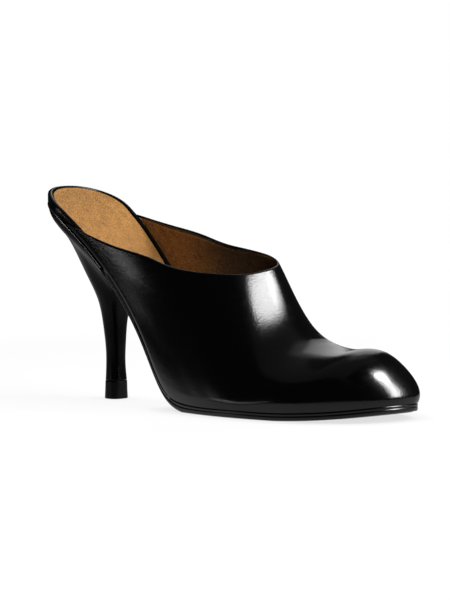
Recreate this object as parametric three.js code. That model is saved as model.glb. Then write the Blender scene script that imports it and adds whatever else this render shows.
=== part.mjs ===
// A high-heeled leather mule for the right foot, EU size 38.
// Millimetres. X runs from the heel to the toe, Y to the inner (big toe) side and Z up.
// The origin is the middle of the heel's top piece, on the floor.

import * as THREE from "three";

// ---- Driving dimensions ----

const SEAT_BACK = -36; // rearmost point of the seat
const TOE_TIP = 182; // foremost point of the toe
const LENGTH = TOE_TIP - SEAT_BACK;
const SEAT_ROUND = 27; // length of the round end of the seat
const SEAT_POWER = 2.15; // how square the seat's round is, where 2 is an ellipse
const TOE_ROUND = 50; // length over which the toe closes in plan
const TOE_POWER = 2.5;
const TOE_TIP_Y = 9; // the toe's tip lies toward the inner side
const TOE_DROP = 30; // length over which the toe comes down in profile
const DROP_POWER = 2.4;

const WALL = 1.8; // upper and its lining together
const WALL_SKIVED = 1.0; // the wings' thin ends
const SKIVE_LENGTH = 36;
const THROAT_X = 100; // front of the topline
const WING_END_OUTER = -12;
const WING_END_INNER = -16;

const GAP = 0.3; // air between two pieces that meet
const BOARD_SEAT = 3.8; // covered insole board at the seat
const BOARD_FORE = 3.2; // and under the forefoot
const BOARD_THIN_FROM = 20;
const BOARD_THIN_TO = 75;
const BOARD_TUCK = 1.5; // the board's top edge leans in by this much
const BOARD_FREE = 0.2; // room beside the board under the wings, beyond the gap
const BOARD_STEP_IN = 4; // length over which the board steps in behind the wings
const SOCK_THICK = 0.8;
const SOCK_BORDER = 2.6; // strip of covered board that shows around the sock
const SOLE_INSET = 0.8; // the sole's edge lies inside the feather line
const SOLE_EDGE = 0.6; // broken edge round its underside
const BREAST_X = 15; // heel breast, where the sole starts
const TOP_PIECE_HIGH = 9;
const TOP_PIECE_FOOT = 5.6; // half width on the floor
const TOP_PIECE_HEAD = 5.3; // half width at the heel's tip
const BREAST_CORNER = 50; // degrees from the stem's middle line to its breast's corners
const BREAST_BULGE = 0.22; // how far the breast bulges, as a share of the half width
const BREAST_POWER = 3; // how late the seat's outline passes from its back to its breast

const OUTER = -1; // the shoe's outer side lies toward -Y
const INNER = 1;

// ---- Tables, a row for each section ----

/** Rows of numbers turned into objects with named columns. */
function table(columns, rows) {
  return rows.map((row) => Object.fromEntries(columns.map((column, i) => [column, row[i]])));
}

// feather: height of the line where upper and sole meet; outer, inner: its distance from the
// X axis; spine, spineY: height and place of the last's ridge; fullOuter, fullInner: how far
// the walls stand out of an ellipse; sole: the outsole's thickness.
const SECTIONS = table(
  ["x", "feather", "outer", "inner", "spine", "spineY", "fullOuter", "fullInner", "sole"],
  [
    [-36, 100.3, 26.0, 26.0, 170.0, 0.0, 0.0, 0.0, 2.0],
    [-18, 92.5, 26.5, 25.5, 160.0, 0.0, 0.5, 0.5, 2.0],
    [2, 77.0, 25.0, 25.0, 150.0, 1.0, 1.0, 1.0, 2.0],
    [22, 57.3, 24.0, 23.0, 138.0, 2.0, 1.0, 1.0, 2.0],
    [42, 32.0, 25.5, 21.5, 123.0, 3.0, 1.0, 1.0, 2.3],
    [58, 11.5, 29.5, 24.5, 108.0, 4.0, 0.5, 0.5, 3.2],
    [75, 4.7, 34.0, 30.5, 93.0, 5.0, -0.5, -0.5, 4.4],
    [95, 3.8, 37.5, 36.0, 75.8, 6.0, -2.5, -7.0, 3.7],
    [115, 3.8, 38.0, 38.5, 45.6, 2.8, -2.0, -4.5, 3.7],
    [135, 3.9, 36.0, 38.5, 32.5, 6.8, 3.0, 3.0, 3.6],
    [150, 4.6, 34.0, 37.5, 31.9, 8.0, 3.5, 3.0, 3.6],
    [165, 5.8, 32.0, 35.0, 32.6, 4.8, 3.0, -0.5, 3.6],
    [182, 8.0, 30.0, 31.0, 25.0, 7.5, 3.0, 5.0, 3.6],
  ],
);

// along: from the outer wing's end (-1) by the throat (0) to the inner wing's end (1);
// around: place round the section, from the outer feather (-1) over the ridge (0) to the
// inner feather (1).
const TOPLINE = table(
  ["along", "around"],
  [
    [-1, -1],
    [-0.85, -0.858],
    [-0.7, -0.678],
    [-0.5, -0.518],
    [-0.3, -0.405],
    [-0.15, -0.262],
    [0, -0.045],
    [0.15, 0.16],
    [0.3, 0.305],
    [0.5, 0.434],
    [0.7, 0.621],
    [0.85, 0.813],
    [1, 1],
  ],
);

// drop: from the seat (0) to the top piece (1); back, breast: share of the seat's outline
// that is left at the back and at the breast; stem: half width of the stem.
const HEEL = table(
  ["drop", "back", "breast", "stem"],
  [
    [0, 1, 1, 4.6],
    [0.04, 0.965, 0.88, 4.6],
    [0.12, 0.78, 0.5, 4.6],
    [0.22, 0.59, 0.21, 4.6],
    [0.38, 0.36, 0.03, 4.6],
    [0.52, 0.17, 0, 4.5],
    [0.69, 0.065, 0, 4.4],
    [0.84, 0.02, 0, 4.4],
    [1, 0, 0, 5.2],
  ],
);

// edge of the board from its underside (0) to its top (1): how far it leans in there.
const BOARD_EDGE = table(
  ["share", "tuck"],
  [
    [0, 0.5],
    [0.2, 0],
    [0.6, 0.3],
    [1, BOARD_TUCK],
  ],
);

// Mesh resolution
const UPPER_COLUMNS = 44;
const UPPER_ROWS = 32;
const SOLE_STATIONS = 36;
const BOARD_STATIONS = 44;
const HEEL_STATIONS = 12;
const HEEL_RINGS = 16;
const BREAST_STEPS = 4;
const ROW_EASING = 1.25; // gathers the upper's rows toward the toe
const TANGENT_STEP = 1e-4; // share of the outline between the two points of a tangent
const LENGTH_SLACK = 1e-9;

// ---- Curves ----

/** Natural cubic spline through one column of a table, as a function of another. */
function spline(rows, key, column) {
  const at = rows.map((row) => row[key]);
  const value = rows.map((row) => row[column]);
  const bend = at.map(() => 0);
  const sweep = at.map(() => 0);
  for (let i = 1; i < at.length - 1; i++) {
    const span = at[i + 1] - at[i - 1];
    const share = (at[i] - at[i - 1]) / span;
    const pivot = share * bend[i - 1] + 2;
    const after = (value[i + 1] - value[i]) / (at[i + 1] - at[i]);
    const before = (value[i] - value[i - 1]) / (at[i] - at[i - 1]);
    bend[i] = (share - 1) / pivot;
    sweep[i] = ((6 * (after - before)) / span - share * sweep[i - 1]) / pivot;
  }
  for (let i = at.length - 2; i >= 0; i--) {
    bend[i] = bend[i] * bend[i + 1] + sweep[i];
  }
  return (x) => {
    let i = 0;
    while (i < at.length - 2 && x > at[i + 1]) i++;
    const width = at[i + 1] - at[i];
    const right = (x - at[i]) / width;
    const left = 1 - right;
    const curve = (left ** 3 - left) * bend[i] + (right ** 3 - right) * bend[i + 1];
    return left * value[i] + right * value[i + 1] + (curve * width * width) / 6;
  };
}

/** Closes from 1 at `from` to 0 at `to` along a superellipse. */
function closing(x, from, to, power) {
  const share = THREE.MathUtils.clamp((x - from) / (to - from), 0, 1);
  return (1 - share ** power) ** (1 / power);
}

const section = Object.fromEntries(
  Object.keys(SECTIONS[0]).map((column) => [column, spline(SECTIONS, "x", column)]),
);
const toplineAround = spline(TOPLINE, "along", "around");
const heel = Object.fromEntries(
  Object.keys(HEEL[0]).map((column) => [column, spline(HEEL, "drop", column)]),
);

// ---- The last ----

const toeClosing = (x) => closing(x, TOE_TIP - TOE_ROUND, TOE_TIP, TOE_POWER);
const seatClosing = (x) => closing(-x, -SEAT_BACK - SEAT_ROUND, -SEAT_BACK, SEAT_POWER);

/** Y of the feather line on one side. */
function featherY(x, side) {
  const half = side === OUTER ? section.outer(x) : section.inner(x);
  return (TOE_TIP_Y + (side * half - TOE_TIP_Y) * toeClosing(x)) * seatClosing(x);
}

/** Point of the last's surface at x, where `around` goes from -1 (outer) to 1 (inner). */
function lastPoint(x, around) {
  const across = Math.sin((Math.PI * around) / 2);
  const up = Math.cos((Math.PI * around) / 2);
  const toe = toeClosing(x);
  const feather = section.feather(x);
  const ridgeY = TOE_TIP_Y + (section.spineY(x) - TOE_TIP_Y) * toe;
  const blend = (outer, inner) => (outer + inner) / 2 + ((inner - outer) / 2) * across;
  const half = blend(ridgeY - featherY(x, OUTER), featherY(x, INNER) - ridgeY);
  const fullness = blend(section.fullOuter(x), section.fullInner(x));
  const y = ridgeY + half * across + 2 * fullness * across * up * toe;
  const drop = closing(x, TOE_TIP - TOE_DROP, TOE_TIP, DROP_POWER);
  return new THREE.Vector3(x, y, feather + (section.spine(x) - feather) * drop * up);
}

/** Thickness of the upper, which thins out toward the ends of the wings. */
function wallAt(x) {
  const share = THREE.MathUtils.smoothstep(x, WING_END_INNER, WING_END_INNER + SKIVE_LENGTH);
  return THREE.MathUtils.lerp(WALL_SKIVED, WALL, share);
}

/** Place along the outline, 0 at the seat's back and 1 at the toe's tip, for a given x. */
const runAt = (x) => Math.acos(1 - (2 * (x - SEAT_BACK)) / LENGTH) / Math.PI;
const xAtRun = (run) => SEAT_BACK + (LENGTH * (1 - Math.cos(Math.PI * run))) / 2;

/** Point of the feather line in plan, moved in by `inset` square to the line. */
function outlinePoint(run, side, inset) {
  const place = (at) => {
    const folded = at > 1 ? 2 - at : Math.abs(at);
    const sameSide = folded === at ? side : -side;
    const x = xAtRun(folded);
    return new THREE.Vector2(x, featherY(x, sameSide));
  };
  const tangent = place(run + TANGENT_STEP).sub(place(run - TANGENT_STEP)).normalize();
  const inward = new THREE.Vector2(side * tangent.y, -side * tangent.x);
  return place(run).addScaledVector(inward, inset);
}

// ---- Mesh building ----

/** Gathers vertices and faces of one closed body. */
class Body {
  constructor() {
    this.positions = [];
    this.faces = [];
  }

  add(point) {
    this.positions.push(point.x, point.y, point.z);
    return this.positions.length / 3 - 1;
  }

  triangle(a, b, c) {
    if (a !== b && b !== c && c !== a) this.faces.push(a, b, c);
  }

  quad(a, b, c, d) {
    this.triangle(a, b, c);
    this.triangle(a, c, d);
  }

  /** Wall between two rings of the same count, both running anticlockwise seen from above. */
  wall(lower, upper) {
    lower.forEach((low, i) => {
      const next = (i + 1) % lower.length;
      this.quad(low, lower[next], upper[next], upper[i]);
    });
  }

  geometry() {
    const geometry = new THREE.BufferGeometry();
    geometry.setAttribute("position", new THREE.Float32BufferAttribute(this.positions, 3));
    geometry.setIndex(this.faces);
    geometry.computeVertexNormals();
    return geometry;
  }
}

/** Adds one ring of an outline at a level: the outer side forward, the inner side back. */
function addRing(body, runs, level) {
  const put = (run, side) => {
    const plan = outlinePoint(run, side, level.inset(xAtRun(run)));
    return body.add(new THREE.Vector3(plan.x, plan.y, level.height(plan.x)));
  };
  const outer = runs.map((run) => put(run, OUTER));
  const inner = runs.map((run, i) => (run === 0 || run === 1 ? outer[i] : put(run, INNER)));
  const back = inner.filter((vertex, i) => vertex !== outer[i]).reverse();
  return { outer, inner, ring: [...outer, ...back] };
}

/** Strips across a ring, from its outer to its inner side. */
function addCap(body, { outer, inner }, facesUp) {
  for (let i = 0; i < outer.length - 1; i++) {
    const corners = [outer[i], outer[i + 1], inner[i + 1], inner[i]];
    if (!facesUp) corners.reverse();
    body.quad(...corners);
  }
}

/** A plate with the shoe's outline, given by its levels from the underside to the top. */
function plate(runs, levels) {
  const body = new Body();
  const rings = levels.map((level) => addRing(body, runs, level));
  addCap(body, rings[0], false);
  for (let i = 0; i < rings.length - 1; i++) {
    body.wall(rings[i].ring, rings[i + 1].ring);
  }
  addCap(body, rings[rings.length - 1], true);
  return body.geometry();
}

const spread = (count, from, to) =>
  Array.from({ length: count + 1 }, (_, i) => from + ((to - from) * i) / count);

// ---- Upper ----

/** Point of the topline as its place on the last. */
function toplinePlace(along) {
  const end = along < 0 ? WING_END_OUTER : WING_END_INNER;
  const around = THREE.MathUtils.clamp(toplineAround(along), -1, 1);
  return { x: THROAT_X - (THROAT_X - end) * along * along, around };
}

/** Places along the topline that lie the same distance apart. */
function evenToplinePlaces(count) {
  const fine = spread(count * 20, -1, 1);
  const points = fine.map((along) => {
    const place = toplinePlace(along);
    return lastPoint(place.x, place.around);
  });
  const lengths = [0];
  for (let i = 1; i < points.length; i++) {
    lengths.push(lengths[i - 1] + points[i].distanceTo(points[i - 1]));
  }
  const total = lengths[lengths.length - 1];
  return spread(count, 0, total).map((target) => {
    const i = lengths.findIndex((length) => length >= target - LENGTH_SLACK);
    if (i <= 0) return -1;
    const share = (target - lengths[i - 1]) / (lengths[i] - lengths[i - 1]);
    return fine[i - 1] + (fine[i] - fine[i - 1]) * share;
  });
}

/** The upper: columns run from the topline to the toe's tip at a fixed place round the last. */
function upperGeometry() {
  const body = new Body();
  const alongs = evenToplinePlaces(UPPER_COLUMNS);
  alongs[alongs.length - 1] = 1;
  const rows = spread(UPPER_ROWS, 0, 1).slice(0, -1);
  const toward = (row) => Math.sin((row * Math.PI) / 2) ** ROW_EASING;
  const outside = alongs.map((along) => {
    const place = toplinePlace(along);
    return rows.map((row) => {
      const x = place.x + (TOE_TIP - place.x) * toward(row);
      return lastPoint(x, place.around);
    });
  });
  const tip = lastPoint(TOE_TIP, 0);

  /** Outward direction at a grid place, from its neighbours. */
  const outward = (column, row) => {
    const last = outside.length - 1;
    const left = outside[Math.max(column - 1, 0)][row];
    const right = outside[Math.min(column + 1, last)][row];
    const behind = outside[column][Math.max(row - 1, 0)];
    const ahead = row + 1 < rows.length ? outside[column][row + 1] : tip;
    const across = right.clone().sub(left);
    return ahead.clone().sub(behind).cross(across).normalize();
  };
  const inside = outside.map((points, column) => {
    const onFeather = column === 0 || column === outside.length - 1;
    return points.map((point, row) => {
      const direction = outward(column, row);
      if (onFeather) direction.setZ(0).normalize();
      return point.clone().addScaledVector(direction, -wallAt(point.x));
    });
  });

  const skin = outside.map((points) => points.map((point) => body.add(point)));
  const lining = inside.map((points) => points.map((point) => body.add(point)));
  const skinTip = body.add(tip);
  const liningTip = body.add(tip.clone().add(new THREE.Vector3(-WALL, 0, 0)));
  skin.forEach((points) => points.push(skinTip));
  lining.forEach((points) => points.push(liningTip));

  const lastColumn = skin.length - 1;
  for (let column = 0; column < lastColumn; column++) {
    for (let row = 0; row < rows.length; row++) {
      body.quad(
        skin[column][row], skin[column][row + 1], skin[column + 1][row + 1], skin[column + 1][row],
      );
      body.quad(
        lining[column][row], lining[column + 1][row],
        lining[column + 1][row + 1], lining[column][row + 1],
      );
    }
    body.quad(skin[column][0], skin[column + 1][0], lining[column + 1][0], lining[column][0]);
  }
  for (let row = 0; row < rows.length; row++) {
    body.quad(skin[0][row], lining[0][row], lining[0][row + 1], skin[0][row + 1]);
    body.quad(
      skin[lastColumn][row], skin[lastColumn][row + 1],
      lining[lastColumn][row + 1], lining[lastColumn][row],
    );
  }
  return body.geometry();
}

// ---- Sole, insole board and sock ----

/** Height of the outsole's underside, flat on the floor under the ball. */
function soleUnderside(x) {
  return Math.max(section.feather(x) - GAP - section.sole(x), 0);
}

/** The outsole, from the heel breast to the toe. */
function outsoleGeometry() {
  const runs = spread(SOLE_STATIONS, runAt(BREAST_X + GAP), 1);
  return plate(runs, [
    { inset: () => SOLE_INSET + SOLE_EDGE, height: soleUnderside },
    { inset: () => SOLE_INSET, height: (x) => soleUnderside(x) + SOLE_EDGE },
    { inset: () => SOLE_INSET, height: (x) => section.feather(x) - GAP },
  ]);
}

/** How far the board's edge lies inside the outline: nothing at the seat, the wall farther on. */
function boardInset(x) {
  const underWing = THREE.MathUtils.smoothstep(x, WING_END_INNER - BOARD_STEP_IN, WING_END_INNER);
  return (wallAt(x) + GAP + BOARD_FREE) * underWing;
}

/** Thickness of the covered insole board. */
function boardThick(x) {
  const share = THREE.MathUtils.smoothstep(x, BOARD_THIN_FROM, BOARD_THIN_TO);
  return THREE.MathUtils.lerp(BOARD_SEAT, BOARD_FORE, share);
}

/** The insole board, wrapped in leather, whose edge shows round the seat. */
function boardGeometry() {
  const levels = BOARD_EDGE.map(({ share, tuck }) => ({
    inset: (x) => boardInset(x) + tuck,
    height: (x) => section.feather(x) + boardThick(x) * share,
  }));
  return plate(spread(BOARD_STATIONS, 0, 1), levels);
}

/** The sock, a thin leather pad on the board. */
function sockGeometry() {
  const levels = [0, SOCK_THICK].map((rise) => ({
    inset: (x) => boardInset(x) + SOCK_BORDER,
    height: (x) => section.feather(x) + boardThick(x) + GAP + rise,
  }));
  return plate(spread(BOARD_STATIONS, 0, 1), levels);
}

// ---- Heel and top piece ----

/** Section of the stem and the top piece: round at the back, with a nearly flat breast. */
function stemRing(half) {
  const corner = THREE.MathUtils.degToRad(BREAST_CORNER);
  const points = spread(2 * HEEL_STATIONS, -corner, corner - 2 * Math.PI).map(
    (angle) => new THREE.Vector2(Math.cos(angle), Math.sin(angle)).multiplyScalar(half),
  );
  const breast = spread(BREAST_STEPS, 1, -1)
    .slice(1, -1)
    .map((across) => {
      const x = half * (Math.cos(corner) + BREAST_BULGE * (1 - across * across));
      return new THREE.Vector2(x, half * Math.sin(corner) * across);
    });
  return [...points, ...breast];
}

/** The seat's outline as a ring like stemRing's: outer side, back, inner side, breast. */
function seatRing() {
  const runs = spread(HEEL_STATIONS, runAt(BREAST_X), 0);
  const outer = runs.map((run) => outlinePoint(run, OUTER, GAP));
  const inner = runs.slice(0, -1).map((run) => outlinePoint(run, INNER, GAP)).reverse();
  const from = inner[inner.length - 1];
  const breast = spread(BREAST_STEPS, 0, 1)
    .slice(1, -1)
    .map((share) => from.clone().lerp(outer[0], share));
  return [...outer, ...inner, ...breast];
}

/** The heel: each line runs from a point of the seat's outline down to the stem. */
function heelGeometry() {
  const body = new Body();
  const seat = seatRing();
  const foot = TOP_PIECE_HIGH + GAP;
  const rings = spread(HEEL_RINGS, 1, 0).map((drop) => {
    const stem = stemRing(heel.stem(drop));
    return seat.map((top, i) => {
      const forward = (top.x - SEAT_BACK) / (BREAST_X - SEAT_BACK);
      const toBreast = forward ** BREAST_POWER;
      const share = THREE.MathUtils.lerp(heel.back(drop), heel.breast(drop), toBreast);
      const plan = stem[i].clone().lerp(top, share);
      const head = section.feather(top.x) - GAP;
      return body.add(new THREE.Vector3(plan.x, plan.y, head + (foot - head) * drop));
    });
  });
  rings.forEach((ring) => ring.reverse());
  for (let i = 0; i < rings.length - 1; i++) body.wall(rings[i], rings[i + 1]);
  addStemCap(body, rings[0], false);
  addStemCap(body, rings[rings.length - 1], true);
  return body.geometry();
}

/** Closes a heel ring with strips between its two sides and a fan at the breast. */
function addStemCap(body, reversedRing, facesUp) {
  const ring = [...reversedRing].reverse();
  const outer = ring.slice(0, HEEL_STATIONS + 1);
  const inner = ring.slice(HEEL_STATIONS, 2 * HEEL_STATIONS + 1).reverse();
  const breast = [...ring.slice(2 * HEEL_STATIONS), outer[0]];
  const put = (a, b, c) => (facesUp ? body.triangle(a, b, c) : body.triangle(c, b, a));
  for (let i = 0; i < breast.length - 1; i++) put(outer[1], breast[i + 1], breast[i]);
  put(outer[1], inner[0], inner[1]);
  for (let i = 1; i < HEEL_STATIONS; i++) {
    put(outer[i], inner[i], inner[i + 1]);
    put(outer[i], inner[i + 1], outer[i + 1]);
  }
}

/** The hard top piece that the heel stands on. */
function topPieceGeometry() {
  const body = new Body();
  const levels = [
    { half: TOP_PIECE_FOOT, z: 0 },
    { half: TOP_PIECE_HEAD, z: TOP_PIECE_HIGH },
  ];
  const rings = levels.map(({ half, z }) =>
    stemRing(half).reverse().map((plan) => body.add(new THREE.Vector3(plan.x, plan.y, z))),
  );
  body.wall(rings[0], rings[1]);
  addStemCap(body, rings[0], false);
  addStemCap(body, rings[1], true);
  return body.geometry();
}

// ---- Assembly ----

const FINISHES = {
  polishedLeather: { color: 0x101012, roughness: 0.12, metalness: 0 },
  edgeLeather: { color: 0x18181a, roughness: 0.35, metalness: 0 },
  sockLeather: { color: 0xc9a06e, roughness: 0.75, metalness: 0 },
  hardRubber: { color: 0x141415, roughness: 0.5, metalness: 0 },
};

const PIECES = [
  { name: "upper", geometry: upperGeometry, finish: "polishedLeather" },
  { name: "insole_board", geometry: boardGeometry, finish: "polishedLeather" },
  { name: "sock", geometry: sockGeometry, finish: "sockLeather" },
  { name: "outsole", geometry: outsoleGeometry, finish: "edgeLeather" },
  { name: "heel", geometry: heelGeometry, finish: "polishedLeather" },
  { name: "top_piece", geometry: topPieceGeometry, finish: "hardRubber" },
];

const mule = new THREE.Group();
for (const { name, geometry, finish } of PIECES) {
  const mesh = new THREE.Mesh(geometry(), new THREE.MeshStandardMaterial(FINISHES[finish]));
  mesh.name = name;
  mule.add(mesh);
}

export default mule;
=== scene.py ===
import logging
import math
from collections.abc import Callable, Sequence
from dataclasses import dataclass, field
from enum import Enum

import bmesh
import bpy
import numpy as np
from bpy.types import Material, Node, NodeSocket, NodeTree, Object
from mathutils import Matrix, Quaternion, Vector


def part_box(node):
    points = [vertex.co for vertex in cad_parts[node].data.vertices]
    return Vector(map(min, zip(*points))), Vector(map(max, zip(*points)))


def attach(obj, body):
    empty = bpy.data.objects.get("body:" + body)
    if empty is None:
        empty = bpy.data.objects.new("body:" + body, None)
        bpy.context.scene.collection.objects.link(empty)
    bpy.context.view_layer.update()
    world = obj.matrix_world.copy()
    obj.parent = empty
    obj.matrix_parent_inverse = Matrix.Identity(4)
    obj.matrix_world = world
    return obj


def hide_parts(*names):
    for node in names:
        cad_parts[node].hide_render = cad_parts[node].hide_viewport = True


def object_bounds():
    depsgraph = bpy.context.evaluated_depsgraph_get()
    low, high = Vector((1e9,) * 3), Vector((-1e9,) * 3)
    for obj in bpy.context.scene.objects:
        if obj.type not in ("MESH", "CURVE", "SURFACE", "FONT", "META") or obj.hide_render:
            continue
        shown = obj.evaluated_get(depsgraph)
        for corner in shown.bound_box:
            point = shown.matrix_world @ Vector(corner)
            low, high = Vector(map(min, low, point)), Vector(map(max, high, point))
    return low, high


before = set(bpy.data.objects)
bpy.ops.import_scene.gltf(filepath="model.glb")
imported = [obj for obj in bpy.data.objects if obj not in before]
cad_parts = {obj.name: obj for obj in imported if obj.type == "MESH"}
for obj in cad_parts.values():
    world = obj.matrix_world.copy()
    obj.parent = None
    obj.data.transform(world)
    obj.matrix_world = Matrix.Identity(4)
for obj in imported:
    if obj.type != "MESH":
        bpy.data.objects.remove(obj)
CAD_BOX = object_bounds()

LOG = logging.getLogger("mule")
MM = 0.001  # metres; shapes are worked out in millimetres
TINY = 1e-12  # keeps a division by a length from failing
BODY = "root"
WHITE = (1, 1, 1, 1)
Array = np.ndarray
Curve = Callable[[Array], Array]
Lift = Callable[[Array, Array], Array]  # height from x and the share of the way to the middle line


# ---- Curves and tables


def spline(knots: Sequence[float], values: Sequence[float]) -> Curve:
    """Natural cubic spline: a cubic between knots, with no bend at the two ends.

    Args:
        knots: Rising places of the knots.
        values: Value at each knot.

    Returns:
        A function that gives the spline's values at an array of places.
    """
    at = np.asarray(knots, float)
    value = np.asarray(values, float)
    gap = np.diff(at)
    slope = np.diff(value) / gap
    matrix = np.eye(len(at))
    right = np.zeros(len(at))
    inner = np.arange(1, len(at) - 1)
    matrix[inner, inner - 1] = gap[:-1]
    matrix[inner, inner] = 2 * (gap[:-1] + gap[1:])
    matrix[inner, inner + 1] = gap[1:]
    right[inner] = 6 * np.diff(slope)
    bend = np.linalg.solve(matrix, right)

    def evaluate(place: Array) -> Array:
        """Value of the spline at each place.

        Args:
            place: Places between the first and the last knot.

        Returns:
            The values.
        """
        place = np.asarray(place, float)
        i = np.clip(np.searchsorted(at, place) - 1, 0, len(gap) - 1)
        ahead = (place - at[i]) / gap[i]
        behind = 1 - ahead
        curve = (behind**3 - behind) * bend[i] + (ahead**3 - ahead) * bend[i + 1]
        return behind * value[i] + ahead * value[i + 1] + curve * gap[i] ** 2 / 6

    return evaluate


def closing(place: Array, start: float, end: float, power: float) -> Array:
    """Superellipse that is 1 up to `start` and closes to 0 at `end`: (1 - t^p)^(1/p)."""
    share = np.clip((place - start) / (end - start), 0, 1)
    return (1 - share**power) ** (1 / power)


def smooth_step(place: Array, start: float, end: float) -> Array:
    """Smooth rise from 0 at `start` to 1 at `end`: t^2 (3 - 2t)."""
    share = np.clip((place - start) / (end - start), 0, 1)
    return share * share * (3 - 2 * share)


def mix(first: Array, second: Array, share: Array) -> Array:
    """Straight blend of two values."""
    return first + (second - first) * share


def drawn_together(outer: Array, inner: Array, share: Array) -> tuple[Array, Array]:
    """Two edges drawn toward their middle line, so that a share of their distance is left."""
    middle = (outer + inner) / 2
    return mix(middle, outer, share), mix(middle, inner, share)


def gathered_places(start: float, end: float, count: int) -> Array:
    """Ends of `count` steps between two places, which gather at both by a cosine."""
    return start + (end - start) * (1 - np.cos(np.linspace(0, np.pi, count + 1))) / 2


def closed_ring(x: Array, outer: Array, inner: Array) -> Array:
    """Plan ring from y of its two sides: the outer one forward, then the inner one back."""
    return np.concatenate([np.stack([x, outer], -1), np.stack([x, inner], -1)[-2:0:-1]])


@dataclass(frozen=True)
class Table:
    """Rows of numbers with named columns."""

    columns: tuple[str, ...]
    rows: tuple[tuple[float, ...], ...]

    def curve(self, column: str) -> Curve:
        """Spline of a column over the first one."""
        values = np.array(self.rows)
        return spline(values[:, 0], values[:, self.columns.index(column)])


# feather: height of the line where upper and sole meet; outer, inner: its distance from the
# X axis; spine, spine_y: height and place of the last's ridge; full_outer, full_inner: how
# far the walls stand out of an ellipse; sole: the outsole's thickness. Millimetres.
SECTIONS = Table(
    ("x", "feather", "outer", "inner", "spine", "spine_y", "full_outer", "full_inner", "sole"),
    (
        (-36, 100.3, 26.0, 26.0, 170.0, 0.0, 0.0, 0.0, 2.0),
        (-18, 92.5, 26.5, 25.5, 160.0, 0.0, 0.5, 0.5, 2.0),
        (2, 77.0, 25.0, 25.0, 150.0, 1.0, 1.0, 1.0, 2.0),
        (22, 57.3, 24.0, 23.0, 138.0, 2.0, 1.0, 1.0, 2.0),
        (42, 32.0, 25.5, 21.5, 123.0, 3.0, 1.0, 1.0, 2.3),
        (58, 11.5, 29.5, 24.5, 108.0, 4.0, 0.5, 0.5, 3.2),
        (75, 4.7, 34.0, 30.5, 93.0, 5.0, -0.5, -0.5, 4.4),
        (95, 3.8, 37.5, 36.0, 75.8, 6.0, -2.5, -7.0, 3.7),
        (115, 3.8, 38.0, 38.5, 45.6, 2.8, -2.0, -4.5, 3.7),
        (135, 3.9, 36.0, 38.5, 32.5, 6.8, 3.0, 3.0, 3.6),
        (150, 4.6, 34.0, 37.5, 31.9, 8.0, 3.5, 3.0, 3.6),
        (165, 5.8, 32.0, 35.0, 32.6, 4.8, 3.0, -0.5, 3.6),
        (182, 8.0, 30.0, 31.0, 25.0, 7.5, 3.0, 5.0, 3.6),
    ),
)

# along: from the outer wing's end (-1) by the throat (0) to the inner wing's end (1);
# around: place round the section, from the outer feather (-1) to the inner feather (1).
TOPLINE = Table(
    ("along", "around"),
    (
        (-1, -1),
        (-0.85, -0.858),
        (-0.7, -0.678),
        (-0.5, -0.518),
        (-0.3, -0.405),
        (-0.15, -0.262),
        (0, -0.045),
        (0.15, 0.16),
        (0.3, 0.305),
        (0.5, 0.434),
        (0.7, 0.621),
        (0.85, 0.813),
        (1, 1),
    ),
)

# drop: from the seat (0) to the top piece (1); back, breast: share of the seat's outline
# that is left at the back and at the breast; stem: half width of the stem.
HEEL = Table(
    ("drop", "back", "breast", "stem"),
    (
        (0, 1, 1, 4.6),
        (0.04, 0.965, 0.88, 4.6),
        (0.12, 0.78, 0.5, 4.6),
        (0.22, 0.59, 0.21, 4.6),
        (0.38, 0.36, 0.03, 4.6),
        (0.52, 0.17, 0, 4.5),
        (0.69, 0.065, 0, 4.4),
        (0.84, 0.02, 0, 4.4),
        (1, 0, 0, 5.2),
    ),
)


class Side(Enum):
    """The two sides of the shoe, with the sign of Y on each."""

    OUTER = -1
    INNER = 1


# ---- The last


def box_mm(node: str) -> tuple[Array, Array]:
    """Lowest and highest corner of a CAD node in millimetres."""
    low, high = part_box(node)
    return np.array(low) / MM, np.array(high) / MM


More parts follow.
